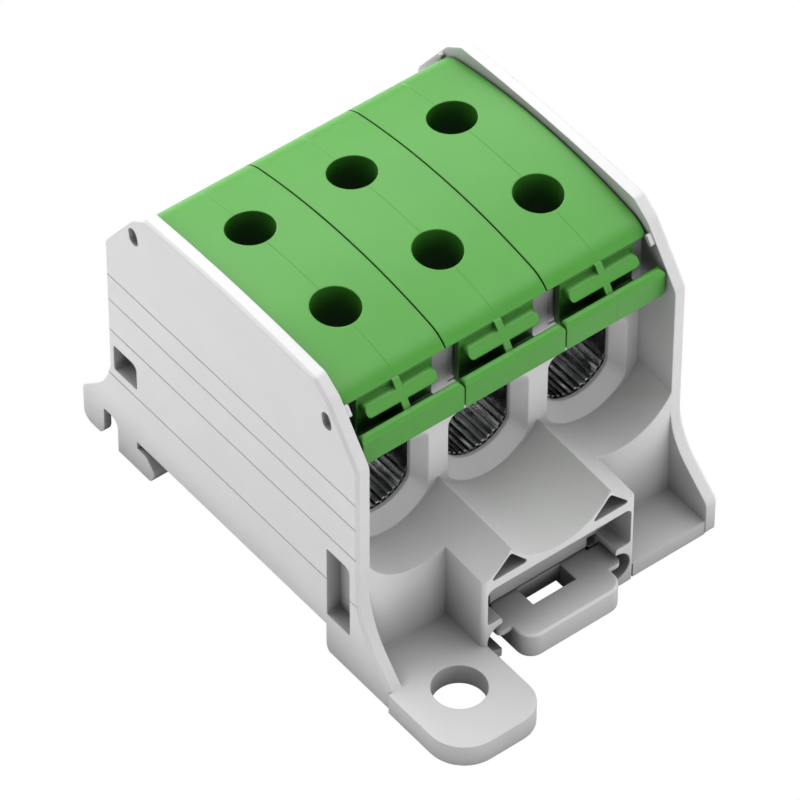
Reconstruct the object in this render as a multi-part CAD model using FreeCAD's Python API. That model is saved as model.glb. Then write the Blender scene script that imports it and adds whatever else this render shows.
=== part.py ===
import FreeCAD, Part
import math
import os

# Three-pole power distribution block, millimetres.
# X runs along the row of poles, Y along the conductors (front is -Y), Z is up.
# The origin is at the centre of the footprint, on the surface that the feet stand on.

V = FreeCAD.Vector
UP = V(0, 0, 1)
CENTRE = V(0, 0, 0)

# Poles
pole_count = 3
pole_pitch = 14.25
cover_gap = 0.2
plate_gap = 0.22

# Housing, side plates and partitions
plate_thickness = 1.7
plate_half_depth = 23.1
plate_crown_rise = 1.05
plate_crown_radius = 225.0
plate_shoulder_y = 15.4
plate_shoulder_z = 42.65
plate_shoulder_radius = 1.0
plate_bend_y = 17.9
plate_bend_z = 40.9
plate_bend_radius = 3.0
plate_knee_z = 33.8
plate_knee_radius = 1.5
plate_edge = 0.35
partition_clearance = 0.5
partition_head_width = 4.6
head_setback = 0.1

# Feet, ears and the rail seat
foot_thickness = 3.0
back_foot_reach = 28.85
back_foot_heel_radius = 1.8
front_foot_reach = 29.95
front_foot_heel_radius = 0.5
front_foot_thickness = 2.1
foot_slope = 0.88
foot_nose_radius = 1.4
foot_sweep_z = 10.9
foot_sweep_radius = 9.0
ear_reach = 41.2
ear_width = 13.25
ear_proud = 0.225
ear_shoulder_y = 28.9
ear_outer_radius = 4.8
ear_inner_radius = 3.75
ear_sweep_z = 9.4
ear_sweep_radius = 13.0
ear_sweep_end = 28.9
ear_hole_radius = 3.25
ear_hole_x = 16.55
ear_hole_y = 32.85
rail_seat_z = 4.65
rail_width = 35.0
rail_play = 0.45
rail_front_y = -17.35
rail_slot_height = 1.15
rail_lead_radius = 1.5
claw_width = 4.5
claw_length = 3.4
claw_tip_radius = 0.9
claw_root = 3.75
notch_width = 2.65
notch_height = 5.0
notch_front_radius = 1.3
notch_leg_radius = 2.0
notch_wall = 1.0
core_end_y = 27.7
core_end_x = 12.2
core_height = 1.8
core_slot_width = 0.8
core_slot_height = 3.75

# Conductor entries: collar, funnel, rim and scoop
collar_top_z = 32.2
funnel_depth = 1.8
rim_depth = 0.45
rim_half_width = 4.5
rim_radius = 5.1
rim_bottom_z = 15.6
rim_top_z = 25.2
rim_corner_radius = 1.5
rim_side_radius = 1.8
funnel_side_radius = 2.2
funnel_flare = 1.25
funnel_radius = 6.9
funnel_bottom_z = 13.8
scoop_radius = 8.25
scoop_back_z = 13.7
scoop_fall = 0.06

# Centre block with the opening of the rail latch
block_half_width = 10.95
block_reach = 30.0
block_corner_radius = 0.6
block_wall = 0.65
latch_room_top = 11.95
latch_room_back = 26.25
latch_room_radius = 0.9
pocket_depth = 2.2
pocket_foot_z = 13.3
pocket_inner_x = 4.5
pocket_peak_x = 7.15
pocket_peak_z = 16.3
pocket_outer_x = 10.05
nose_x = 8.2
nose_top_z = 6.35
nose_recess_z = 3.35
latch_hole_near_x = 7.0
latch_hole_far_x = 8.4
latch_hole_top = 6.0
latch_hole_back = 22.0

# Clamp bodies and their screws
clamp_half_width = 5.7
clamp_half_length = 14.5
clamp_bottom_z = 13.0
clamp_top_z = 31.5
clamp_clearance = 0.22
clamp_edge = 0.5
bore_half_width = 4.65
bore_radius = 4.95
bore_bottom_z = 15.9
bore_top_z = 25.6
bore_corner_radius = 1.2
bore_side_radius = 1.8
groove_count = 13
groove_angle = 9.8
groove_width = 0.45
groove_depth = 0.35
screw_radius = 4.0
screw_fit = 0.05
screw_y = 7.7
screw_length = 10.0
screw_tip_z = 24.4
screw_tip_cone = 1.2
socket_across_flats = 4.0
socket_depth = 4.0

# Clip-on covers
cover_top_z = 42.3
cover_crown_radius = 80.0
cover_crown_half = 15.45
cover_bend_radius = 4.35
cover_bend_end = 53.0
cover_wall = 1.2
access_radius = 2.93
sleeve_radius = 3.7
sleeve_bottom_z = 34.8
sleeve_top_z = 41.2
skirt_half_width = 5.25
skirt_front_y = 18.0
skirt_wall = 0.8
band_front_y = 21.6
band_wall = 1.15
band_bottom_z = 32.5
band_top_z = 36.4
band_back_top_z = 34.2
band_bevel = 0.5
band_end_radius = 0.6
web_height = 0.9
fin_half = 0.47
fin_foot_y = 21.4
fin_foot_z = 34.9
rib_half_width = 4.9
rib_bottom_z = 37.1
rib_top_z = 38.3

# Marks on the outer face of each side plate
line_heights = (12.2, 19.6, 24.5, 28.5)
line_width = 0.18
line_depth = 0.05
dimple_places = ((-17.7, 37.8), (17.4, 38.4))
dimple_length = 2.4
dimple_width = 1.6
dimple_depth = 0.7
dimple_lean = -10.0
window_front = (-21.65, -17.5, 6.3, 17.2)
window_back = (17.7, 22.05, 13.5, 17.4)
window_radius = 0.9
window_depth = 2.0
window_top_depth = 1.3
window_taper_z = 14.5
nub_proud = 0.6
nub_y = 18.75
nub_z = 38.95
nub_length = 1.5
nub_width = 0.6
nub_lean = 36.0

# Rail latch
latch_top_z = 4.35
latch_bottom_z = 0.75
latch_half_width = 7.05
latch_front_y = 33.2
latch_front_radius = 2.0
latch_step_y = 26.0
latch_slot_length = 6.2
latch_slot_width = 2.9
latch_slot_y = 27.75
latch_window_width = 1.5
latch_floor_height = 0.9
latch_edge = 0.35
latch_wing_reach = 1.8
latch_wing_thickness = 0.65
latch_wing_front_y = 30.3
latch_wing_back_y = 26.5
latch_flange_reach = 1.0
latch_flange_bottom = 1.7
latch_flange_top = 3.0
latch_play = 0.25
latch_nose_reach = 1.5
latch_nose_slope = 1.2
latch_nose_height = 1.2

# Sizes that follow from the ones above
plate_inner_x = pole_count * pole_pitch / 2 + plate_gap
plate_outer_x = plate_inner_x + plate_thickness
cover_half_width = (pole_pitch - cover_gap) / 2
partition_thickness = pole_pitch - 2 * (clamp_half_width + clamp_clearance)
chamber_half_length = clamp_half_length + clamp_clearance
collar_front_y = chamber_half_length + rim_depth + funnel_depth
ridge_z = scoop_back_z + scoop_radius - math.sqrt(scoop_radius ** 2 - (pole_pitch / 2) ** 2)
sill_top_z = ridge_z + 0.5
claw_slot_end = rail_front_y + rail_width + rail_play
notch_front_y = claw_slot_end + claw_root
latch_back_y = rail_front_y + latch_nose_reach
ear_outer_x = plate_outer_x + ear_proud
ear_inner_x = ear_outer_x - ear_width
pole_places = [(i - (pole_count - 1) / 2) * pole_pitch for i in range(pole_count)]
wall_places = [(i - pole_count / 2) * pole_pitch for i in range(pole_count + 1)]


def side_view(x):
    """Drawing plane of a profile seen from the side: (y, z) at one x."""
    return lambda a, b: V(x, a, b)


def front_view(y):
    """Drawing plane of a profile seen from the front: (x, z) at one y."""
    return lambda a, b: V(a, y, b)


def plan_view(z):
    """Drawing plane of a profile seen from above: (x, y) at one z."""
    return lambda a, b: V(a, b, z)


def rounded_face(corners, place):
    """Flat face inside the outline through corners (a, b, radius).

    A rounded corner becomes a tangent arc. Where two arcs share a side that is
    too short for both, they divide it between them.
    """
    count = len(corners)
    spots = [V(a, b, 0) for a, b, radius in corners]
    sides = [spots[(i + 1) % count] - spots[i] for i in range(count)]
    halves = [(-sides[i - 1]).getAngle(sides[i]) / 2 for i in range(count)]
    reaches = [corner[2] / math.tan(half) for corner, half in zip(corners, halves)]
    shares = [1.0] * count
    for i in range(count):
        wanted = reaches[i] + reaches[(i + 1) % count]
        if wanted > sides[i].Length:
            share = 0.999 * sides[i].Length / wanted
            shares[i] = min(shares[i], share)
            shares[(i + 1) % count] = min(shares[(i + 1) % count], share)
    edges = []
    last_end = None
    first_start = None
    for i in range(count):
        reach = reaches[i] * shares[i]
        back = V(sides[i - 1]).normalize()
        ahead = V(sides[i]).normalize()
        start = spots[i] - back * reach
        end = spots[i] + ahead * reach
        if last_end is None:
            first_start = start
        elif (start - last_end).Length > 0.0001:
            edges.append(Part.makeLine(place(last_end.x, last_end.y), place(start.x, start.y)))
        if reach > 0.0001:
            inward = (ahead - back).normalize()
            sag = reach * (1 / math.cos(halves[i]) - math.tan(halves[i]))
            middle = spots[i] + inward * sag
            ends = [place(p.x, p.y) for p in (start, middle, end)]
            edges.append(Part.Arc(*ends).toShape())
        last_end = end
    if (first_start - last_end).Length > 0.0001:
        edges.append(Part.makeLine(place(last_end.x, last_end.y), place(first_start.x, first_start.y)))
    return Part.Face(Part.Wire(Part.__sortEdges__(edges)))


def block(x_range, y_range, z_range):
    """Box between the two ends given for each axis."""
    size = [abs(b - a) for a, b in (x_range, y_range, z_range)]
    return Part.makeBox(*size, V(min(x_range), min(y_range), min(z_range)))


def mirrored_corners(corners):
    """The corners given for +a, followed by their mirror images, in order round the outline."""
    return corners + [(-a, b, radius) for a, b, radius in reversed(corners) if a != 0]


def half_turn(shape):
    """The same shape turned half round the vertical axis of the part."""
    return shape.rotated(CENTRE, UP, 180)


def front_to_back(shape):
    """The same shape mirrored from the front to the back."""
    return shape.mirror(CENTRE, V(0, 1, 0))


def left_to_right(shape):
    """The same shape mirrored from the left to the right."""
    return shape.mirror(CENTRE, V(1, 0, 0))


def side_plate(reach, heel_radius):
    """Left side plate: crown, sloping shoulders, a sweep down to the ear and one to the foot."""
    nose_z = foot_sweep_z - foot_slope * (reach - plate_half_depth)
    crown_corner = (0, plate_shoulder_z + plate_crown_rise, plate_crown_radius)
    outline = [
        (-ear_sweep_end, 0, 0),
        (-ear_sweep_end, foot_thickness, 0),
        (-plate_half_depth, ear_sweep_z, ear_sweep_radius),
        (-plate_half_depth, plate_knee_z, plate_knee_radius),
        (-plate_bend_y, plate_bend_z, plate_bend_radius),
        (-plate_shoulder_y, plate_shoulder_z, plate_shoulder_radius),
        crown_corner,
        (plate_shoulder_y, plate_shoulder_z, plate_shoulder_radius),
        (plate_bend_y, plate_bend_z, plate_bend_radius),
        (plate_half_depth, plate_knee_z, plate_knee_radius),
        (plate_half_depth, foot_sweep_z, foot_sweep_radius),
        (reach, nose_z, foot_nose_radius),
        (reach, 0, heel_radius),
    ]
    plate = rounded_face(outline, side_view(-plate_outer_x)).extrude(V(plate_thickness, 0, 0))
    rim = [
        edge for edge in plate.Edges
        if abs(edge.CenterOfMass.x + plate_outer_x) < 0.001 and edge.BoundBox.ZMax > foot_thickness + 0.1
        and edge.BoundBox.ZMin > 0.001
    ]
    return plate.makeChamfer(plate_edge, rim)


def ear():
    """Front left ear with its round hole, for a screw into a panel."""
    outline = [
        (-ear_outer_x, -ear_shoulder_y, 0),
        (-ear_outer_x, -ear_reach, ear_outer_radius),
        (-ear_inner_x, -ear_reach, ear_inner_radius),
        (-ear_inner_x, -plate_half_depth, 0),
        (-plate_inner_x, -plate_half_depth, 0),
        (-plate_inner_x, -ear_shoulder_y, 0),
    ]
    slab = rounded_face(outline, plan_view(0)).extrude(V(0, 0, foot_thickness))
    hole = Part.makeCylinder(ear_hole_radius, foot_thickness, V(-ear_hole_x, -ear_hole_y, 0))
    return slab.cut(hole)


def foot(reach, thickness):
    """Short foot behind the left side plate, level with the ears."""
    return block((-plate_inner_x, -block_half_width), (plate_half_depth, reach - 0.1), (0, thickness))


def partition(x):
    """Wall between two poles, wider at its two ends, which stops just under the arch of the covers."""
    arch = cover_arch(cover_wall + partition_clearance)
    right = [arch[2], (collar_front_y, arch[1][1] - 0.8, 0.8), (collar_front_y, clamp_bottom_z - 1, 0)]
    corners = mirrored_corners(right)
    wall = rounded_face(corners, side_view(x - partition_thickness / 2)).extrude(V(partition_thickness, 0, 0))
    near = max(x - partition_head_width / 2, -plate_inner_x)
    far = min(x + partition_head_width / 2, plate_inner_x)
    wide = rounded_face(corners, side_view(near)).extrude(V(far - near, 0, 0))
    slab = block((near, far), (chamber_half_length, collar_front_y - head_setback),
                 (collar_top_z - 1, cover_top_z))
    heads = [wide.common(slab), wide.common(front_to_back(slab))]
    return wall.fuse(heads)


def entry_face(y, half_width, radius, bottom, top, corner, side_radius):
    """Outline of a conductor entry: an arched floor that rounds into upright sides, and a closed top."""
    turn = math.asin((half_width - side_radius) / (radius - side_radius))
    join = (radius * math.sin(turn), bottom + radius - radius * math.cos(turn))
    side_z = bottom + radius - (radius - side_radius) * math.cos(turn)
    halfway = (turn + math.pi / 2) / 2
    side_middle = (half_width - side_radius + side_radius * math.sin(halfway),
                   side_z - side_radius * math.cos(halfway))
    slant = corner * (1 - math.sqrt(0.5))
    place = front_view(y)
    arcs = [
        [(-join[0], join[1]), (0, bottom), join],
        [join, side_middle, (half_width, side_z)],
        [(half_width, top - corner), (half_width - slant, top - slant), (half_width - corner, top)],
    ]
    arcs += [[(-a, b) for a, b in reversed(arc)] for arc in (arcs[2], arcs[1])]
    edges = [Part.Arc(*[place(a, b) for a, b in arc]).toShape() for arc in arcs]
    edges.insert(2, Part.makeLine(place(half_width, side_z), place(half_width, top - corner)))
    edges.insert(4, Part.makeLine(place(half_width - corner, top), place(corner - half_width, top)))
    edges.insert(6, Part.makeLine(place(-half_width, top - corner), place(-half_width, side_z)))
    return Part.Wire(edges)


def funnel(x):
    """Space of one conductor entry in the front collar: a funnel that ends in a short rim."""
    throat_y = collar_front_y - funnel_depth
    spare = 0.5
    grow = 1 + spare / funnel_depth
    throat_sizes = (rim_half_width, rim_radius, rim_bottom_z, rim_top_z, rim_corner_radius, rim_side_radius)
    mouth_sizes = (rim_half_width + funnel_flare, funnel_radius, funnel_bottom_z, rim_top_z + funnel_flare,
                   rim_corner_radius, funnel_side_radius)
    outer_sizes = [small + (large - small) * grow for small, large in zip(throat_sizes, mouth_sizes)]
    throat = entry_face(-throat_y, *throat_sizes)
    mouth = entry_face(-collar_front_y - spare, *outer_sizes)
    neck = Part.Face(throat).extrude(V(0, rim_depth + spare, 0))
    return Part.makeLoft([mouth, throat], True, True).fuse(neck).translated(V(x, 0, 0))


def collar():
    """Front wall of the chambers, with the entry of each pole."""
    wall = block((-plate_inner_x, plate_inner_x), (-collar_front_y, -chamber_half_length),
                 (clamp_bottom_z - 1, collar_top_z))
    return wall.cut([funnel(x) for x in pole_places])


def scoop(x):
    """Trough that leads the conductor up to its entry, falling towards the front."""
    spare = 0.5
    start = V(x, -collar_front_y + spare, scoop_back_z + scoop_radius + spare * scoop_fall)
    length = block_reach + 1 - collar_front_y + spare
    circle = Part.Face(Part.Wire(Part.makeCircle(scoop_radius, start, V(0, 1, 0))))
    return circle.extrude(V(0, -length, -length * scoop_fall))


def sill(with_block):
    """Body in front of the collar, with the scoops; the centre block stands on the latch side only."""
    body = block((-plate_inner_x, plate_inner_x), (-plate_half_depth, -collar_front_y), (0, sill_top_z))
    if with_block:
        body = body.fuse(centre_block())
    return body.cut([scoop(x) for x in pole_places])


def claw(sign):
    """Fixed claw under one side plate, which hooks under the back edge of the rail."""
    top = rail_seat_z - rail_slot_height
    tip = claw_slot_end - claw_length
    outline = [
        (notch_front_y, 0, 0),
        (tip + claw_tip_radius, 0, claw_tip_radius),
        (tip, top / 2, claw_tip_radius),
        (tip + claw_length / 2, top, claw_tip_radius),
        (claw_slot_end + 0.01, top, 0),
        (notch_front_y, top, 0),
    ]
    outer = sign * plate_outer_x
    return rounded_face(outline, side_view(outer)).extrude(V(-sign * claw_width, 0, 0))


def rail_recess():
    """Recess across the underside for the rail, with a rounded lead-in at its front."""
    lead_y = rail_front_y - rail_lead_radius - 0.1
    outline = [
        (lead_y, 0, 0),
        (rail_front_y, 0, rail_lead_radius),
        (rail_front_y, rail_seat_z, 0),
        (claw_slot_end, rail_seat_z, 0),
        (claw_slot_end, -1, 0),
        (lead_y, -1, 0),
    ]
    half = ear_outer_x + 1
    return rounded_face(outline, side_view(-half)).extrude(V(2 * half, 0, 0))


def foot_notch():
    """Opening in the outer side of the back left foot, between the claw and a rounded leg."""
    end = notch_front_y + notch_width
    leg_end = end + notch_leg_radius + 0.1
    outline = [
        (notch_front_y, -1, 0),
        (notch_front_y, notch_height, notch_front_radius),
        (end, notch_height, 0.3),
        (end, 0, notch_leg_radius),
        (leg_end, 0, 0),
        (leg_end, -1, 0),
    ]
    return rounded_face(outline, side_view(-plate_outer_x - 1)).extrude(V(notch_wall + 1, 0, 0))


def foot_core():
    """Hollow under the back left foot, with a taller slot along the inside of its outer wall."""
    wall_x = -plate_outer_x + notch_wall
    y_range = (notch_front_y + 0.15, core_end_y)
    low = block((wall_x, -core_end_x), y_range, (-1, core_height))
    return low.fuse(block((wall_x, wall_x + core_slot_width), y_range, (-1, core_slot_height)))


def side_window(front, back, low, high):
    """Blind window in the left side plate, less deep near its top."""
    outline = [
        (front, low, 0.3),
        (front, high, window_radius),
        (back, high, 0.3),
        (back, low, 0.3),
    ]
    start = -plate_outer_x - 1
    window = rounded_face(outline, side_view(start)).extrude(V(window_depth + 1, 0, 0))
    depths = [
        (start, low - 1, 0),
        (start, high + 1, 0),
        (-plate_outer_x + window_top_depth, high + 1, 0),
        (-plate_outer_x + window_top_depth, high, 0),
        (-plate_outer_x + window_depth, window_taper_z, 0),
        (-plate_outer_x + window_depth, low - 1, 0),
    ]
    return window.common(rounded_face(depths, front_view(front)).extrude(V(0, back - front, 0)))


def slanted_bar(x, y, z, length, width, run, lean):
    """Round-ended bar that runs along X, drawn in side view and leaning towards the front."""
    half = width / 2
    straight = length / 2 - half
    corners = [
        (-half, -straight - half, half * 0.999),
        (half, -straight - half, half * 0.999),
        (half, straight + half, half * 0.999),
        (-half, straight + half, half * 0.999),
    ]
    bar = rounded_face(corners, side_view(0)).extrude(V(run, 0, 0))
    return bar.rotated(CENTRE, V(1, 0, 0), lean).translated(V(x, y, z))


def plate_marks():
    """Cuts in the outer face of the left side plate: moulded lines, dimples and windows."""
    cuts = [side_window(*window_front), side_window(*window_back)]
    for z in line_heights:
        cuts.append(block((-plate_outer_x - 1, -plate_outer_x + line_depth),
                          (-plate_half_depth - 1, plate_half_depth + 1),
                          (z - line_width / 2, z + line_width / 2)))
    for y, z in dimple_places:
        cuts.append(slanted_bar(-plate_outer_x - 1, y, z, dimple_length, dimple_width,
                                1 + dimple_depth, dimple_lean))
    return cuts


def plate_nubs():
    """Snap nubs on the inner face of the left side plate, just outside the ends of the cover."""
    return [slanted_bar(-plate_inner_x - 0.2, sign * nub_y, nub_z, nub_length, nub_width,
                        0.2 + nub_proud, sign * nub_lean) for sign in (-1, 1)]


def centre_block():
    """Block in front of the middle pole, which carries the latch and the middle scoop."""
    outline = [
        (-block_half_width, -plate_half_depth + 1, 0),
        (-block_half_width, -block_reach, block_corner_radius),
        (block_half_width, -block_reach, block_corner_radius),
        (block_half_width, -plate_half_depth + 1, 0),
    ]
    return rounded_face(outline, plan_view(0)).extrude(V(0, 0, sill_top_z))


def latch_room():
    """Opening in the centre block for the latch, and the tunnel behind it."""
    half = block_half_width - block_wall
    right = [
        (half, latch_room_top, latch_room_radius),
        (half, nose_top_z, 0.4),
        (nose_x, nose_top_z, 0.35),
        (nose_x, -1, 0),
    ]
    depth = block_reach + 1 - latch_room_back
    room = rounded_face(mirrored_corners(right), front_view(-block_reach - 1)).extrude(V(0, depth, 0))
    tunnel_half = latch_half_width + latch_play
    back = latch_room_back + 0.5
    tunnel = block((-tunnel_half, tunnel_half), (-back, rail_front_y + 1), (-1, rail_seat_z))
    groove_half = tunnel_half + latch_flange_reach
    groove = block((-groove_half, groove_half), (-back, rail_front_y + 1),
                   (latch_flange_bottom - latch_play, latch_flange_top + latch_play))
    cuts = [room, tunnel, groove]
    for sign in (-1, 1):
        cuts.append(Part.makeCylinder(half - nose_x, depth, V(sign * nose_x, -block_reach - 1, nose_recess_z),
                                      V(0, 1, 0)))
        cuts.append(block((sign * latch_hole_near_x, sign * latch_hole_far_x), (-back, -latch_hole_back),
                          (latch_top_z, latch_hole_top)))
    return cuts


def block_pocket():
    """Triangular pocket in the front of the centre block, on the right of the scoop."""
    outline = [
        (pocket_inner_x, pocket_foot_z, 0.3),
        (pocket_peak_x, pocket_peak_z, 0.35),
        (pocket_outer_x, pocket_foot_z, 0.3),
    ]
    return rounded_face(outline, front_view(-block_reach - 1)).extrude(V(0, pocket_depth + 1, 0))


def housing():
    """Moulded housing: plates, partitions, collars, base, feet, ears, claws and latch opening."""
    base = block((-plate_inner_x, plate_inner_x), (-collar_front_y, collar_front_y), (0, clamp_bottom_z))
    left = [side_plate(back_foot_reach, back_foot_heel_radius), ear(), foot(back_foot_reach, foot_thickness)]
    right = [side_plate(front_foot_reach, front_foot_heel_radius), ear(),
             foot(front_foot_reach, front_foot_thickness)]
    solids = [sill(True), front_to_back(sill(False)), collar(), front_to_back(collar())]
    solids += left + [half_turn(shape) for shape in right]
    solids += [partition(x) for x in wall_places]
    body = base.fuse(solids).removeSplitter()

    cuts = [rail_recess(), foot_notch(), foot_core(), block_pocket(), left_to_right(block_pocket())]
    cuts += latch_room()
    marks = plate_marks()
    cuts += marks + [half_turn(mark) for mark in marks]
    body = body.cut(cuts)

    nubs = plate_nubs()
    return body.fuse([claw(-1), claw(1)] + nubs + [half_turn(nub) for nub in nubs])


def cover_arch(inset):
    """Corners of the covers' arch at a depth below its outer skin, from the end to the crown."""
    rise = math.asin(cover_crown_half / cover_crown_radius)
    end = math.radians(cover_bend_end)
    crown_z = cover_top_z - cover_crown_radius
    arm = cover_crown_radius - cover_bend_radius
    bend_y = arm * math.sin(rise)
    bend_z = crown_z + arm * math.cos(rise)
    bend = cover_bend_radius - inset
    half = (end - rise) / 2
    middle = (end + rise) / 2
    crown = cover_crown_radius - inset
    return [
        (bend_y + bend * math.sin(end), bend_z + bend * math.cos(end), 0),
        (bend_y + bend / math.cos(half) * math.sin(middle),
         bend_z + bend / math.cos(half) * math.cos(middle), bend),
        (0, crown_z + crown / math.cos(rise), crown),
    ]


def cover_band(top_z):
    """Band across the front end of a cover, with its foot web and the skirt behind it."""
    inner_y = skirt_front_y - skirt_wall
    skirt = block((-skirt_half_width, skirt_half_width), (-skirt_front_y, -inner_y),
                  (band_bottom_z, cover_arch(0)[0][1] - 0.2))
    web = block((-skirt_half_width, skirt_half_width), (-band_front_y + 0.3, -inner_y),
                (band_bottom_z, band_bottom_z + web_height))
    section = [
        (-band_front_y, band_bottom_z, 0.25),
        (-band_front_y, top_z - band_bevel, 0.3),
        (-band_front_y + band_bevel, top_z, 0.3),
        (-band_front_y + band_wall, top_z, 0.2),
        (-band_front_y + band_wall, band_bottom_z, 0),
    ]
    band = rounded_face(section, side_view(-cover_half_width)).extrude(V(2 * cover_half_width, 0, 0))
    face = mirrored_corners([(cover_half_width, band_bottom_z, band_end_radius),
                             (cover_half_width, top_z, band_end_radius)])
    outline = rounded_face(face, front_view(-band_front_y)).extrude(V(0, band_wall, 0))
    return [skirt, web, band.common(outline)]


def cover_fin():
    """Fin down the middle of a cover's front end, with a rib across that follows its slope."""
    inner_y = skirt_front_y - skirt_wall
    arch_end = cover_arch(0)[0]
    profile = [
        (-inner_y, band_bottom_z, 0),
        (-fin_foot_y, band_bottom_z, 0),
        (-fin_foot_y, fin_foot_z, 0.3),
        (-arch_end[0] - 0.25, arch_end[1] + 0.1, 0.3),
        (-inner_y, arch_end[1] + 0.1, 0),
    ]
    fin = rounded_face(profile, side_view(-fin_half)).extrude(V(2 * fin_half, 0, 0))
    wedge = rounded_face(profile, side_view(-rib_half_width)).extrude(V(2 * rib_half_width, 0, 0))
    rib_face = mirrored_corners([(rib_half_width, rib_bottom_z, 0.5), (rib_half_width, rib_top_z, 0.5)])
    rib = rounded_face(rib_face, front_view(-fin_foot_y)).extrude(V(0, fin_foot_y - inner_y, 0))
    return [fin, rib.common(wedge)]


def cover():
    """Clip-on cover of one pole: arched shell, two sleeved key holes and a latching end each way."""
    outer = cover_arch(0)
    inner = cover_arch(cover_wall)
    corners = outer + [(-a, b, r) for a, b, r in reversed(outer[:2])]
    corners += [(-a, b, r) for a, b, r in inner[:2]] + [inner[2]]
    corners += [(a, b, r) for a, b, r in reversed(inner[:2])]
    shell = rounded_face(corners, side_view(-cover_half_width)).extrude(V(2 * cover_half_width, 0, 0))
    back_end = [front_to_back(end) for end in cover_band(band_back_top_z)]
    body = shell.fuse(cover_band(band_top_z) + cover_fin() + back_end)
    for sign in (-1, 1):
        foot = V(0, sign * screw_y, sleeve_bottom_z)
        body = body.fuse(Part.makeCylinder(sleeve_radius, sleeve_top_z - sleeve_bottom_z, foot))
        body = body.cut(Part.makeCylinder(access_radius, 10, foot))
    return body.removeSplitter()


def clamp_body():
    """Tin-plated clamp body: a through bore with a grooved floor and two threaded holes above it."""
    outline = [
        (-clamp_half_width, clamp_bottom_z, clamp_edge),
        (-clamp_half_width, clamp_top_z, clamp_edge),
        (clamp_half_width, clamp_top_z, clamp_edge),
        (clamp_half_width, clamp_bottom_z, clamp_edge),
    ]
    length = 2 * clamp_half_length
    body = rounded_face(outline, front_view(-clamp_half_length)).extrude(V(0, length, 0))
    bore = Part.Face(entry_face(-clamp_half_length, bore_half_width, bore_radius, bore_bottom_z,
                                bore_top_z, bore_corner_radius, bore_side_radius)).extrude(V(0, length, 0))
    cuts = [bore]
    bore_axis = V(0, 0, bore_bottom_z + bore_radius)
    groove = block((-groove_width / 2, groove_width / 2), (-clamp_half_length, clamp_half_length),
                   (bore_bottom_z - groove_depth, bore_bottom_z + 0.3))
    for i in range(groove_count):
        angle = (i - (groove_count - 1) / 2) * groove_angle
        cuts.append(groove.rotated(bore_axis, V(0, 1, 0), angle))
    for sign in (-1, 1):
        cuts.append(Part.makeCylinder(screw_radius + screw_fit, clamp_top_z - bore_bottom_z,
                                      V(0, sign * screw_y, bore_bottom_z + bore_radius)))
    return body.cut(cuts).removeSplitter()


def clamp_screw():
    """Clamping screw with a hexagon socket and a coned tip, on the axis of its threaded hole."""
    tip_radius = screw_radius - screw_tip_cone
    cone = Part.makeCone(tip_radius, screw_radius, screw_tip_cone, V(0, 0, screw_tip_z))
    shank = Part.makeCylinder(screw_radius, screw_length - screw_tip_cone,
                              V(0, 0, screw_tip_z + screw_tip_cone))
    corner = socket_across_flats / math.sqrt(3)
    top = screw_tip_z + screw_length
    points = [V(corner * math.cos(math.radians(60 * i)), corner * math.sin(math.radians(60 * i)),
                top - socket_depth) for i in range(6)]
    socket = Part.Face(Part.makePolygon(points + points[:1])).extrude(V(0, 0, socket_depth + 1))
    return cone.fuse(shank).cut(socket).removeSplitter()


def rail_latch():
    """Latch that holds the front edge of the rail, with a slot for a screwdriver."""
    outline = [
        (-latch_half_width, -latch_step_y, 0),
        (-latch_half_width, -latch_front_y, latch_front_radius),
        (latch_half_width, -latch_front_y, latch_front_radius),
        (latch_half_width, -latch_step_y, 0),
    ]
    height = latch_top_z - latch_bottom_z
    handle = rounded_face(outline, plan_view(latch_bottom_z)).extrude(V(0, 0, height))
    rims = [edge for edge in handle.Edges
            if edge.BoundBox.ZLength < 0.001 and edge.CenterOfMass.y < -latch_step_y - 0.1]
    handle = handle.makeFillet(latch_edge, rims)
    hook_top_z = rail_seat_z - rail_slot_height
    tongue_corners = [
        (-latch_step_y, latch_bottom_z, 0),
        (rail_front_y - latch_nose_slope, latch_bottom_z, 0.5),
        (latch_back_y, hook_top_z - latch_nose_height, 0.3),
        (latch_back_y, hook_top_z, 0.3),
        (rail_front_y - latch_play, hook_top_z, 0),
        (rail_front_y - latch_play, latch_top_z, 0.3),
        (-latch_step_y, latch_top_z, 0),
    ]
    tongue = rounded_face(tongue_corners, side_view(-latch_half_width)).extrude(
        V(2 * latch_half_width, 0, 0))
    flange_half = latch_half_width + latch_flange_reach - latch_play
    flange = block((-flange_half, flange_half),
                   (-latch_room_back + latch_play, rail_front_y - latch_play),
                   (latch_flange_bottom, latch_flange_top))
    wing_half = latch_half_width + latch_wing_reach
    wing_corners = mirrored_corners([
        (wing_half, -latch_wing_front_y, 0.7),
        (wing_half, -latch_wing_back_y, 0.2),
    ])
    wings = rounded_face(wing_corners, plan_view(latch_top_z - latch_wing_thickness)).extrude(
        V(0, 0, latch_wing_thickness))
    slot = block((-latch_slot_length / 2, latch_slot_length / 2),
                 (-latch_slot_y - latch_slot_width / 2, -latch_slot_y + latch_slot_width / 2),
                 (latch_bottom_z + latch_floor_height, latch_top_z + 1))
    half = latch_slot_length / 2
    front = latch_slot_y + latch_slot_width / 2
    window_corners = [
        (-half, -front, 0.7),
        (half, -front, 0.7),
        (half, -front + latch_window_width, 0.7),
        (-half, -front + latch_window_width, 0.7),
    ]
    window = rounded_face(window_corners, plan_view(0)).extrude(V(0, 0, latch_top_z))
    return handle.fuse([tongue, flange, wings]).cut([slot, window]).removeSplitter()


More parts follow.
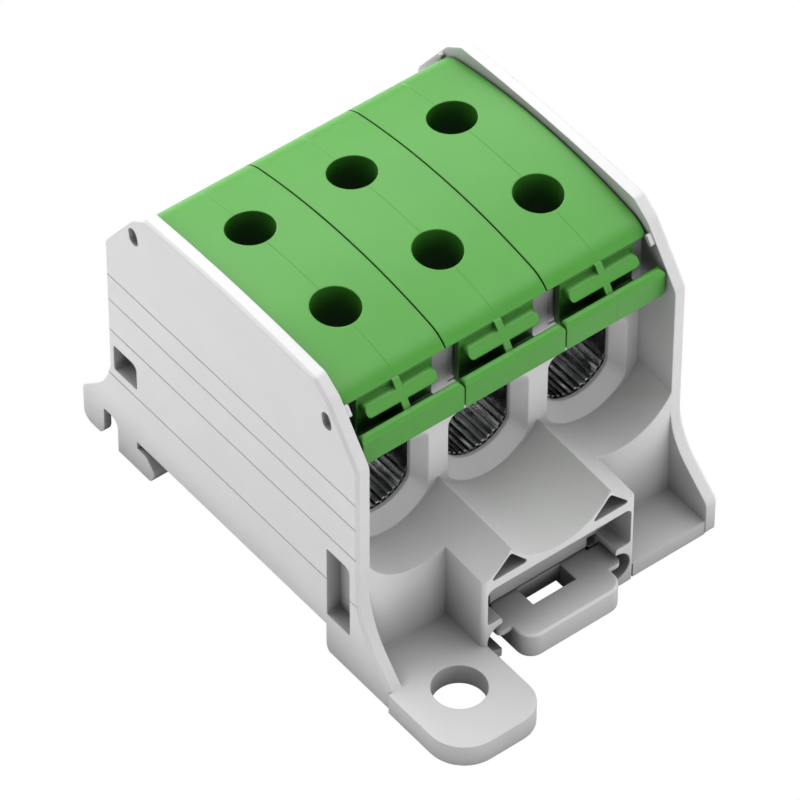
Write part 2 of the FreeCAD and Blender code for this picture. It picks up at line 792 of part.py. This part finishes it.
def save(name, shape):
    """Write one piece to its own file and say what it holds."""
    solids = shape.Solids
    assert len(solids) == 1 and shape.isValid(), name
    shape = solids[0]
    shape.exportStep("parts/" + name + ".step")
    box = shape.BoundBox
    print(f"{name:22s} {shape.Volume / 1000:8.2f} cm3  x {box.XMin:7.2f} {box.XMax:7.2f}"
          f"  y {box.YMin:7.2f} {box.YMax:7.2f}  z {box.ZMin:6.2f} {box.ZMax:6.2f}")


def pole_name(index):
    """Word that tells the poles apart, from the left to the right."""
    if pole_count == 3:
        return ("left", "middle", "right")[index]
    return "pole_" + str(index + 1)


os.makedirs("parts", exist_ok=True)
save("housing", housing())
save("rail_latch", rail_latch())
for index, pole_x in enumerate(pole_places):
    save("cover_" + pole_name(index), cover().translated(V(pole_x, 0, 0)))
    save("clamp_body_" + pole_name(index), clamp_body().translated(V(pole_x, 0, 0)))
    for end_name, sign in (("front", -1), ("back", 1)):
        place = V(pole_x, sign * screw_y, 0)
        save("clamp_screw_" + pole_name(index) + "_" + end_name, clamp_screw().translated(place))
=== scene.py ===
# %% [markdown]
# # Dressing a power distribution block
# The block is a light grey moulded housing with three green clip-on covers, three metal clamp
# bodies, their screws and a small rail latch. Its solid pieces arrive ready made, in metres, and
# stand where they belong. This lesson gives each of them the surface of its real material, adds
# the fine things that are too small for the solids, and sets up a plain product photograph.

import math

import bmesh
import bpy
from mathutils import Euler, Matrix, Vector


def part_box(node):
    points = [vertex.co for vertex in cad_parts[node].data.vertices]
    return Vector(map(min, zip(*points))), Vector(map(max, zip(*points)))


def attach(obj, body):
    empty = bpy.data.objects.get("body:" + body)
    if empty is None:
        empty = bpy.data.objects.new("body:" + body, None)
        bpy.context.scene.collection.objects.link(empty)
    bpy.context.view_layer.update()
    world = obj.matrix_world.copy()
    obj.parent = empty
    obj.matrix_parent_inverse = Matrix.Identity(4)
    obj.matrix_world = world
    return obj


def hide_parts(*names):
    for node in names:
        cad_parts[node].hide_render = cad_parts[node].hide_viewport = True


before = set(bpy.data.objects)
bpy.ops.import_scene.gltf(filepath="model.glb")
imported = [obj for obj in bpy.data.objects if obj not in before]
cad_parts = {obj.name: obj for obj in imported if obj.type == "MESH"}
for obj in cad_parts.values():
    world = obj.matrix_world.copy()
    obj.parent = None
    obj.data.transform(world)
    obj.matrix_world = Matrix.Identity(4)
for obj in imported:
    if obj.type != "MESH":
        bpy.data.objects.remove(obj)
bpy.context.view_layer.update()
MM = 0.001
print("pieces:", sorted(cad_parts))

# %% [markdown]
# ## The camera
# The picture was taken from the front left, well above the block, through a long lens: parallel
# edges stay almost parallel. A long lens far away does the same here, and a small shift moves the
# block to its place in the picture. One function turns the two viewing angles into a direction,
# and it places the lamps later on.


# %% Camera at the picture's viewing angle
def direction(azimuth, elevation):
    """Unit vector from the block towards an azimuth, counted from the front, and an elevation."""
    return Vector((math.sin(azimuth) * math.cos(elevation), -math.cos(azimuth) * math.cos(elevation),
                   math.sin(elevation)))


view_azimuth = math.radians(-38.075)
view_elevation = math.radians(46.27)
view_distance = 776.5 * MM
aim = Vector((-9.9, -10.56, 28.42)) * MM
lens_mm = 315.3

camera_data = bpy.data.cameras.new("camera")
camera_data.sensor_width = 36.0
camera_data.lens = lens_mm
camera_data.shift_x = 0.0211
camera_data.shift_y = -0.0141
camera_data.clip_start = 0.05
camera_data.clip_end = 20.0
camera = bpy.data.objects.new("camera", camera_data)
bpy.context.scene.collection.objects.link(camera)
camera.location = aim + direction(view_azimuth, view_elevation) * view_distance
camera.rotation_euler = Euler((math.pi / 2 - view_elevation, 0.0, view_azimuth))
bpy.context.scene.camera = camera
print("camera stands at", [round(c, 3) for c in camera.location])

# %% [markdown]
# ## Colours and nodes
# Colours are written as the hex values that a picture program shows. Light is worked out in
# linear values, so one function turns them. A second small function adds one node with its
# settings and links, which keeps each recipe below short enough to read, and a third makes an
# empty material.


# %% Helpers for materials
def linear(hex_colour):
    """Linear RGBA of an sRGB hex colour such as #D6D6D5."""
    channels = [int(hex_colour[i:i + 2], 16) / 255 for i in (1, 3, 5)]
    return [c / 12.92 if c <= 0.04045 else ((c + 0.055) / 1.055) ** 2.4 for c in channels] + [1.0]


def add(tree, kind, settings=None, links=None):
    """Add a node of a kind; settings are attributes or socket values, links name source sockets."""
    node = tree.nodes.new(kind)
    for name, value in (settings or {}).items():
        if isinstance(name, int) or name in node.inputs:
            node.inputs[name].default_value = value
        else:
            setattr(node, name, value)
    for name, source in (links or {}).items():
        tree.links.new(source, node.inputs[name])
    return node


def new_material(name):
    """An empty node material with its output node."""
    material = bpy.data.materials.new(name)
    material.use_nodes = True
    tree = material.node_tree
    tree.nodes.clear()
    return material, tree, add(tree, "ShaderNodeOutputMaterial")


print("white is", linear("#FFFFFF"))

# %% [markdown]
# ## Moulded plastic
# The housing and the latch are polyamide, the covers a softer green plastic, all injection
# moulded in spark-eroded steel. That leaves a satin skin with a very fine grain, colour that
# drifts a little where the melt flowed, and edges that are never quite sharp. A Bevel node rounds
# the light on each edge by a quarter of a millimetre, and the difference between that soft normal
# and the true one finds the edges, where a paler colour is laid on as a painted highlight. An
# Ambient Occlusion node finds deep corners and recesses from the shape alone and darkens the
# colour there: this is painted shade.


# %% Moulded plastic material
grain_mm = 0.22
grain_height_mm = 0.02
flow_mm = 9.0
edge_radius_mm = 0.25
painted_edge_highlight = 0.5
paler_in_flow = 0.18
recess_shade_reach_mm = 9.0
recess_painted_shade = 0.85
shinier = 0.05
duller = 0.07
seam_half_mm = 0.09
seam_depth_mm = 0.05
pole_pitch_mm = (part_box("clamp_body_right")[0][0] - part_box("clamp_body_middle")[0][0]) / MM


def moulded_plastic(name, body, pale, roughness, ior, seam_pitch_mm=None):
    """Satin injection-moulded plastic: body colour, paler colour in the flow and as a painted highlight
    on the edges, painted shade in recesses.

    A seam pitch adds the fine parting line of the mould, along Y at each multiple of the pitch.
    """
    material, tree, output = new_material(name)
    place = add(tree, "ShaderNodeTexCoord").outputs["Object"]
    flow = add(tree, "ShaderNodeTexNoise",
               {"Scale": 1 / (flow_mm * MM), "Detail": 3.0, "Roughness": 0.5}, {"Vector": place})
    grain = add(tree, "ShaderNodeTexNoise",
                {"Scale": 1 / (grain_mm * MM), "Detail": 2.0, "Roughness": 0.6}, {"Vector": place})
    soft = add(tree, "ShaderNodeBevel", {"samples": 6, "Radius": edge_radius_mm * MM})
    true = add(tree, "ShaderNodeNewGeometry")
    bend = add(tree, "ShaderNodeVectorMath", {"operation": "DOT_PRODUCT"},
               {0: soft.outputs["Normal"], 1: true.outputs["Normal"]})
    # Painted highlight: a paler colour is laid on the edges, where the soft normal turns away from the
    # true one.
    edge = add(tree, "ShaderNodeMapRange",
               {"From Min": 0.995, "From Max": 0.80, "To Max": painted_edge_highlight},
               {"Value": bend.outputs["Value"]})
    drift = add(tree, "ShaderNodeMapRange",
                {"From Min": 0.35, "From Max": 0.65, "To Max": paler_in_flow},
                {"Value": flow.outputs["Fac"]})
    share = add(tree, "ShaderNodeMath", {"operation": "MAXIMUM"},
                {0: edge.outputs["Result"], 1: drift.outputs["Result"]})
    colour = add(tree, "ShaderNodeMix", {"data_type": "RGBA", 6: linear(body), 7: linear(pale)},
                 {0: share.outputs["Value"]})
    # Painted shade: the colour is darkened in deep corners and recesses that an ambient occlusion node
    # finds.
    corner_shade = add(tree, "ShaderNodeAmbientOcclusion", {"samples": 6, "Distance": recess_shade_reach_mm * MM})
    colour = add(tree, "ShaderNodeMix",
                 {"data_type": "RGBA", "blend_type": "MULTIPLY", 0: recess_painted_shade},
                 {6: colour.outputs[2], 7: corner_shade.outputs["Color"]})
    sheen = add(tree, "ShaderNodeMapRange",
                {"From Min": 0.3, "From Max": 0.7,
                 "To Min": roughness - shinier, "To Max": roughness + duller},
                {"Value": grain.outputs["Fac"]})
    bump = add(tree, "ShaderNodeBump", {"Strength": 0.12, "Distance": grain_height_mm * MM},
               {"Height": grain.outputs["Fac"], "Normal": soft.outputs["Normal"]})
    if seam_pitch_mm:
        across = add(tree, "ShaderNodeSeparateXYZ", links={0: place})
        offset = add(tree, "ShaderNodeMath", {"operation": "PINGPONG", 1: seam_pitch_mm * MM / 2},
                     {0: across.outputs["X"]})
        groove = add(tree, "ShaderNodeMapRange", {"From Max": seam_half_mm * MM},
                     {"Value": offset.outputs["Value"]})
        bump = add(tree, "ShaderNodeBump", {"Strength": 0.7, "Distance": seam_depth_mm * MM},
                   {"Height": groove.outputs["Result"], "Normal": bump.outputs["Normal"]})
    skin = add(tree, "ShaderNodeBsdfPrincipled", {"IOR": ior},
               {"Base Color": colour.outputs[2], "Roughness": sheen.outputs["Result"],
                "Normal": bump.outputs["Normal"]})
    tree.links.new(skin.outputs["BSDF"], output.inputs["Surface"])
    return material


light_grey_polyamide = moulded_plastic("light_grey_polyamide", "#DADADA", "#E8E8E8", 0.42, 1.53)
latch_polyamide = moulded_plastic("light_grey_polyamide_latch", "#D6D6D6", "#E4E4E4", 0.42, 1.53)
green_plastic = moulded_plastic("green_moulded_plastic", "#3F9025", "#4EA534", 0.4, 1.5, pole_pitch_mm)
print("plastics:", light_grey_polyamide.name, latch_polyamide.name, green_plastic.name)

# %% [markdown]
# ## Tin-plated aluminium
# The clamp bodies are sawn from an extruded aluminium bar and tin plated. Tin looks like
# aluminium that has been breathed on: bright, slightly grey and cloudy, with the fine lines of
# the extrusion along the bore. A noise that is stretched along the bore draws those lines. An
# Ambient Occlusion node with a short reach finds the narrow grooves between the ribs and darkens
# them, which is painted shade; the crests keep their bright colour.


# %% Tin-plated aluminium material
line_mm = 0.12
line_height_mm = 0.02
line_stretch = 50
cloud_mm = 2.5
groove_shade_reach_mm = 0.5
sawn_edge_mm = 0.1


def tin_plate():
    """Cloudy bright tin on extruded aluminium, with drawing lines along Y."""
    material, tree, output = new_material("tin_plated_aluminium")
    place = add(tree, "ShaderNodeTexCoord").outputs["Object"]
    along = add(tree, "ShaderNodeMapping", {"Scale": (1.0, 1 / line_stretch, 1.0)}, {"Vector": place})
    lines = add(tree, "ShaderNodeTexNoise", {"Scale": 1 / (line_mm * MM), "Detail": 2.0},
                {"Vector": along.outputs["Vector"]})
    cloud = add(tree, "ShaderNodeTexNoise", {"Scale": 1 / (cloud_mm * MM), "Detail": 4.0},
                {"Vector": place})
    colour = add(tree, "ShaderNodeMix",
                 {"data_type": "RGBA", 6: linear("#E4E5E6"), 7: linear("#F8F8F6")},
                 {0: cloud.outputs["Fac"]})
    # Painted shade: the narrow grooves between the ribs are darkened, and the crests keep their bright
    # colour.
    between = add(tree, "ShaderNodeAmbientOcclusion", {"samples": 6, "Distance": groove_shade_reach_mm * MM})
    painted_groove_shade = add(tree, "ShaderNodeMapRange", {"From Min": 0.4, "From Max": 0.7, "To Min": 0.06},
                {"Value": between.outputs["AO"]})
    colour = add(tree, "ShaderNodeMix", {"data_type": "RGBA", "blend_type": "MULTIPLY", 0: 1.0},
                 {6: colour.outputs[2], 7: painted_groove_shade.outputs["Result"]})
    rough = add(tree, "ShaderNodeMapRange",
                {"From Min": 0.3, "From Max": 0.7, "To Min": 0.08, "To Max": 0.18},
                {"Value": cloud.outputs["Fac"]})
    soft = add(tree, "ShaderNodeBevel", {"samples": 4, "Radius": sawn_edge_mm * MM})
    bump = add(tree, "ShaderNodeBump", {"Strength": 0.15, "Distance": line_height_mm * MM},
               {"Height": lines.outputs["Fac"], "Normal": soft.outputs["Normal"]})
    metal = add(tree, "ShaderNodeBsdfPrincipled", {"Metallic": 1.0},
                {"Base Color": colour.outputs[2], "Roughness": rough.outputs["Result"],
                 "Normal": bump.outputs["Normal"]})
    tree.links.new(metal.outputs["BSDF"], output.inputs["Surface"])
    return material


tin_plated_aluminium = tin_plate()
print("metal:", tin_plated_aluminium.name)

# %% [markdown]
# ## Zinc-plated steel
# The clamping screws are steel with a thin blue-white zinc coat over turned and broached metal.
# Turning leaves rings round the axis. Each screw stands at its own place, so the rings come from
# a noise that hardly changes sideways, which is true of every screw at once.


# %% Zinc-plated steel material
turning_mm = 0.15
turning_height_mm = 0.02
sideways = 0.03
turned_edge_mm = 0.12


def zinc_plate():
    """Bright zinc on turned steel, with faint rings round an upright axis."""
    material, tree, output = new_material("zinc_plated_steel")
    place = add(tree, "ShaderNodeTexCoord").outputs["Object"]
    upright = add(tree, "ShaderNodeMapping", {"Scale": (sideways, sideways, 1.0)}, {"Vector": place})
    rings = add(tree, "ShaderNodeTexNoise", {"Scale": 1 / (turning_mm * MM), "Detail": 2.0},
                {"Vector": upright.outputs["Vector"]})
    colour = add(tree, "ShaderNodeMix",
                 {"data_type": "RGBA", 6: linear("#9EA3A8"), 7: linear("#C9CCCE")},
                 {0: rings.outputs["Fac"]})
    soft = add(tree, "ShaderNodeBevel", {"samples": 4, "Radius": turned_edge_mm * MM})
    bump = add(tree, "ShaderNodeBump", {"Strength": 0.2, "Distance": turning_height_mm * MM},
               {"Height": rings.outputs["Fac"], "Normal": soft.outputs["Normal"]})
    metal = add(tree, "ShaderNodeBsdfPrincipled", {"Metallic": 1.0, "Roughness": 0.32},
                {"Base Color": colour.outputs[2], "Normal": bump.outputs["Normal"]})
    tree.links.new(metal.outputs["BSDF"], output.inputs["Surface"])
    return material


zinc_plated_steel = zinc_plate()
print("metal:", zinc_plated_steel.name)

# %% [markdown]
# ## A finish for every piece
# The pieces keep their solid shape and take their finish through their material slots. The first
# word or two of a piece's name says what it is made of.

# %% Give the pieces their materials
finish_of = {
    "housing": light_grey_polyamide,
    "rail_latch": latch_polyamide,
    "cover": green_plastic,
    "clamp_body": tin_plated_aluminium,
    "clamp_screw": zinc_plated_steel,
}
for name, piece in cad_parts.items():
    start = max((key for key in finish_of if name.startswith(key)), key=len)
    piece.data.materials.clear()
    piece.data.materials.append(finish_of[start])
print("finished", len(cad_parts), "pieces")

# %% [markdown]
# ## Threaded screws
# The solid screws are plain cylinders. Each gives way to a threaded one of the same outline, made
# by a Geometry Nodes tree: a core with a hexagon cut out of its top, a blunt cone below it, and a
# ridge of four-cornered section that is swept up a spiral. The tree's named inputs are the sizes.

# %% The tree of a threaded screw
round_sides = 48
steps_per_turn = 40


def screw_tree():
    """Geometry Nodes tree of an upright screw that stands on its own foot point."""
    tree = bpy.data.node_groups.new("threaded_screw", "GeometryNodeTree")
    sockets = [
        ("Foot", "NodeSocketVector"),
        ("Length", "NodeSocketFloat"),
        ("Radius", "NodeSocketFloat"),
        ("Thread Depth", "NodeSocketFloat"),
        ("Pitch", "NodeSocketFloat"),
        ("Tip", "NodeSocketFloat"),
        ("Socket Corner", "NodeSocketFloat"),
        ("Socket Depth", "NodeSocketFloat"),
        ("Material", "NodeSocketMaterial"),
    ]
    for name, kind in sockets:
        tree.interface.new_socket(name=name, in_out="INPUT", socket_type=kind)
    tree.interface.new_socket(name="Geometry", in_out="OUTPUT", socket_type="NodeSocketGeometry")
    given = add(tree, "NodeGroupInput").outputs

    def result(operation, first, second):
        """Value of a sum on a socket and a second socket or number."""
        node = add(tree, "ShaderNodeMath", {"operation": operation}, {0: first})
        if isinstance(second, float):
            node.inputs[1].default_value = second
        else:
            tree.links.new(second, node.inputs[1])
        return node.outputs["Value"]

    def lifted(mesh, height):
        """The mesh moved up to a height."""
        place = add(tree, "ShaderNodeCombineXYZ", links={"Z": height})
        moved = add(tree, "GeometryNodeTransform",
                    links={"Geometry": mesh, "Translation": place.outputs[0]})
        return moved.outputs["Geometry"]

    core_radius = result("SUBTRACT", given["Radius"], given["Thread Depth"])
    core_length = result("SUBTRACT", given["Length"], given["Tip"])
    top = result("SUBTRACT", given["Length"], result("MULTIPLY", core_length, 0.5))
    core = add(tree, "GeometryNodeMeshCylinder", {"Vertices": round_sides},
               {"Radius": core_radius, "Depth": core_length})
    doubled = result("ADD", given["Socket Depth"], given["Socket Depth"])
    hexagon = add(tree, "GeometryNodeMeshCylinder", {"Vertices": 6},
                  {"Radius": given["Socket Corner"], "Depth": doubled})
    head = add(tree, "GeometryNodeMeshBoolean", {"operation": "DIFFERENCE", "solver": "EXACT"},
               {"Mesh 1": lifted(core.outputs["Mesh"], top),
                "Mesh 2": lifted(hexagon.outputs["Mesh"], given["Length"])})
    blunt = result("SUBTRACT", core_radius, given["Tip"])
    cone = add(tree, "GeometryNodeMeshCone", {"Vertices": round_sides},
               {"Radius Top": core_radius, "Radius Bottom": blunt, "Depth": given["Tip"]})
    rise = result("SUBTRACT", core_length, given["Pitch"])
    spiral = add(tree, "GeometryNodeCurveSpiral", {"Resolution": steps_per_turn},
                 {"Rotations": result("DIVIDE", rise, given["Pitch"]), "Start Radius": core_radius,
                  "End Radius": core_radius, "Height": rise})
    upright = add(tree, "GeometryNodeSetCurveNormal", {"mode": "Z_UP"},
                  {"Curve": spiral.outputs["Curve"]})
    section = add(tree, "GeometryNodeCurvePrimitiveCircle", {"Resolution": 4},
                  {"Radius": given["Thread Depth"]})
    ridge = add(tree, "GeometryNodeCurveToMesh", {"Fill Caps": True},
                {"Curve": upright.outputs["Curve"], "Profile Curve": section.outputs["Curve"]})
    first_turn = result("ADD", given["Tip"], result("MULTIPLY", given["Pitch"], 0.5))
    joined = add(tree, "GeometryNodeJoinGeometry")
    for mesh in (head.outputs["Mesh"], cone.outputs["Mesh"], lifted(ridge.outputs["Mesh"], first_turn)):
        tree.links.new(mesh, joined.inputs["Geometry"])
    placed = add(tree, "GeometryNodeTransform",
                 links={"Geometry": joined.outputs["Geometry"], "Translation": given["Foot"]})
    real = add(tree, "GeometryNodeRealizeInstances", links={"Geometry": placed.outputs["Geometry"]})
    dressed = add(tree, "GeometryNodeSetMaterial",
                  links={"Geometry": real.outputs["Geometry"], "Material": given["Material"]})
    add(tree, "NodeGroupOutput", links={"Geometry": dressed.outputs["Geometry"]})
    return tree


thread_tree = screw_tree()
print("nodes in the screw's tree:", len(thread_tree.nodes))

# %% [markdown]
# The tree is evaluated once for each screw, and the result is kept as a plain mesh, which then
# rides with the body of the screw that it stands for.

# %% One threaded screw for each plain one
screw_thread_depth_mm = 0.5
screw_thread_pitch_mm = 1.25
screw_tip_mm = 1.2
screw_socket_width_mm = 4.0
screw_socket_depth_mm = 4.0
sharp_angle = math.radians(35)


def grown(name, tree, values):
    """Plain mesh object that a Geometry Nodes tree makes from the values of its named inputs."""
    seed_object = bpy.data.objects.new(name + "_seed", bpy.data.meshes.new(name + "_seed"))
    bpy.context.scene.collection.objects.link(seed_object)
    modifier = seed_object.modifiers.new("nodes", "NODES")
    modifier.node_group = tree
    for item in tree.interface.items_tree:
        if item.in_out == "INPUT":
            modifier[item.identifier] = values[item.name]
    evaluated = seed_object.evaluated_get(bpy.context.evaluated_depsgraph_get())
    mesh = bpy.data.meshes.new_from_object(evaluated)
    mesh.name = name
    # The tree's parts bring empty material slots along, so every face is given to the one material.
    mesh.materials.clear()
    mesh.materials.append(values["Material"])
    mesh.polygons.foreach_set("material_index", [0] * len(mesh.polygons))
    bpy.data.objects.remove(seed_object)
    piece = bpy.data.objects.new(name, mesh)
    bpy.context.scene.collection.objects.link(piece)
    return piece


for name in [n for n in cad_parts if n.startswith("clamp_screw")]:
    low, high = [Vector(corner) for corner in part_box(name)]
    sizes = {
        "Foot": ((low.x + high.x) / 2, (low.y + high.y) / 2, low.z),
        "Length": high.z - low.z,
        "Radius": (high.x - low.x) / 2,
        "Thread Depth": screw_thread_depth_mm * MM,
        "Pitch": screw_thread_pitch_mm * MM,
        "Tip": screw_tip_mm * MM,
        "Socket Corner": screw_socket_width_mm * MM / math.sqrt(3),
        "Socket Depth": screw_socket_depth_mm * MM,
        "Material": zinc_plated_steel,
    }
    screw = grown(name.replace("clamp_screw", "threaded_screw"), thread_tree, sizes)
    screw.data.shade_smooth()
    screw.data.set_sharp_from_angle(angle=sharp_angle)
    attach(screw, name.replace("clamp_screw", "screw"))
    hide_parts(name)
    print(screw.name, len(screw.data.polygons), "faces")

# %% [markdown]
# ## The slot of the latch
# A screwdriver goes into the slot of the latch and levers it out. The slot is open right through,
# and the handle is hollow behind it, so that the ground shows through. Two rounded cutters take
# this out of a copy of the latch, which then stands in for the solid one.

# %% Open the slot of the latch
slot_half_mm = 3.1
slot_front_mm, slot_back_mm = -29.2, -26.25
hollow_half_mm = 3.3
hollow_front_mm, hollow_back_mm = -28.9, -23.4
hollow_top_mm = 1.85
below_latch_mm, above_latch_mm = -0.5, 5.0
cutter_round_mm = 0.5


def cutter(name, low, high):
    """Box between two corners in millimetres, with its upright edges rounded."""
    shape = bmesh.new()
    bmesh.ops.create_cube(shape, size=1.0)
    for vertex in shape.verts:
        vertex.co = [(low[i] + high[i]) / 2 * MM + vertex.co[i] * (high[i] - low[i]) * MM
                     for i in range(3)]
    upright = [edge for edge in shape.edges if abs(edge.verts[0].co.z - edge.verts[1].co.z) > MM]
    bmesh.ops.bevel(shape, geom=upright, offset=cutter_round_mm * MM, segments=6, affect="EDGES",
                    profile=0.5)
    mesh = bpy.data.meshes.new(name)
    shape.to_mesh(mesh)
    shape.free()
    item = bpy.data.objects.new(name, mesh)
    bpy.context.scene.collection.objects.link(item)
    return item


solid_latch = bpy.data.objects.new("solid_latch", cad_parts["rail_latch"].data.copy())
bpy.context.scene.collection.objects.link(solid_latch)
cutters = [
    cutter("slot_cutter", (-slot_half_mm, slot_front_mm, below_latch_mm),
           (slot_half_mm, slot_back_mm, above_latch_mm)),
    cutter("hollow_cutter", (-hollow_half_mm, hollow_front_mm, below_latch_mm),
           (hollow_half_mm, hollow_back_mm, hollow_top_mm)),
]
for item in cutters:
    modifier = solid_latch.modifiers.new(item.name, "BOOLEAN")
    modifier.operation = "DIFFERENCE"
    modifier.solver = "EXACT"
    modifier.object = item
depsgraph = bpy.context.evaluated_depsgraph_get()
latch = bpy.data.objects.new("latch_with_open_slot",
                             bpy.data.meshes.new_from_object(solid_latch.evaluated_get(depsgraph)))
bpy.context.scene.collection.objects.link(latch)
for item in cutters + [solid_latch]:
    bpy.data.objects.remove(item)
latch.data.materials.clear()
latch.data.materials.append(latch_polyamide)
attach(latch, "latch")
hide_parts("rail_latch")
print(latch.name, len(latch.data.polygons), "faces")

# %% [markdown]
# ## Floor
# The picture has a plain white ground, and light so soft that no shadow shows on it. The floor
# throws light back at the block as a white card does, but the camera sees it as plain white.

# %% A white card as the floor
floor_size = 6.0
bpy.ops.mesh.primitive_plane_add(size=floor_size, location=(0, 0, 0))
floor = bpy.context.object
floor.name = "floor"
floor_material, floor_tree, floor_output = new_material("white_card")
card = add(floor_tree, "ShaderNodeBsdfDiffuse", {"Color": linear("#FCFCFC")})
glow = add(floor_tree, "ShaderNodeEmission", {"Color": linear("#FFFFFF"), "Strength": 1.0})
floor_rays = add(floor_tree, "ShaderNodeLightPath")
seen_floor = add(floor_tree, "ShaderNodeMixShader",
                 links={0: floor_rays.outputs["Is Camera Ray"], 1: card.outputs["BSDF"],
                        2: glow.outputs["Emission"]})
floor_tree.links.new(seen_floor.outputs["Shader"], floor_output.inputs["Surface"])
floor.data.materials.append(floor_material)
print("floor:", floor_size, "m wide")

# %% [markdown]
# ## World
# The world is a white tent round the block. It gives matt surfaces hardly any light, since the
# lamps do that, but glossy surfaces mirror it, and the camera sees it as plain white.

# %% White tent
tent_light = 0.05
mirrored_light = 0.9
world = bpy.data.worlds.new("white_tent")
bpy.context.scene.world = world
world.use_nodes = True
sky = world.node_tree
sky.nodes.clear()
rays = add(sky, "ShaderNodeLightPath")
seen = add(sky, "ShaderNodeMapRange", {"To Min": tent_light}, {"Value": rays.outputs["Is Camera Ray"]})
strength = add(sky, "ShaderNodeMath", {"operation": "MULTIPLY_ADD", 1: mirrored_light},
               {0: rays.outputs["Is Glossy Ray"], 2: seen.outputs["Result"]})
tent = add(sky, "ShaderNodeBackground", {"Color": linear("#FFFFFF")},
           {"Strength": strength.outputs["Value"]})
add(sky, "ShaderNodeOutputWorld", links={"Surface": tent.outputs["Background"]})
print("world:", world.name)

# %% [markdown]
# ## Lamps
# The light comes mostly from the back left and from above. Low light from the front fills the
# scoops, a lamp behind the block lays a pale sheen on the tops of the covers, and a small low one
# shines into the back entries, so that the bores are bright.

# %% Soft lamps round the block
lamp_distance = 0.8
large = 0.6
middling = 0.4
small = 0.3


def lamp(name, azimuth, elevation, size, watts):
    """Square soft lamp that faces the block from an azimuth and elevation in degrees."""
    data = bpy.data.lights.new(name, "AREA")
    data.shape = "SQUARE"
    data.size = size
    data.energy = watts
    towards = direction(math.radians(azimuth), math.radians(elevation))
    item = bpy.data.objects.new(name, data)
    item.location = towards * lamp_distance
    item.rotation_euler = towards.to_track_quat("Z", "Y").to_euler()
    bpy.context.scene.collection.objects.link(item)


lamp("left_key", -115, 40, large, 1.7)
lamp("back_left_key", -160, 40, large, 2.8)
lamp("low_front", 0, 10, large, 2.5)
lamp("low_right", 60, 10, large, 1.4)
lamp("high_right", 60, 75, large, 2.9)
lamp("right_sheen", 110, 40, large, 1.1)
lamp("back_sheen", 150, 45, middling, 1.5)
lamp("low_back", 180, 12, small, 2.5)

# %% [markdown]
# ## Plain colours
# The picture is shown with plain colours.

# %% Show plain colours
bpy.context.scene.view_settings.view_transform = "Standard"
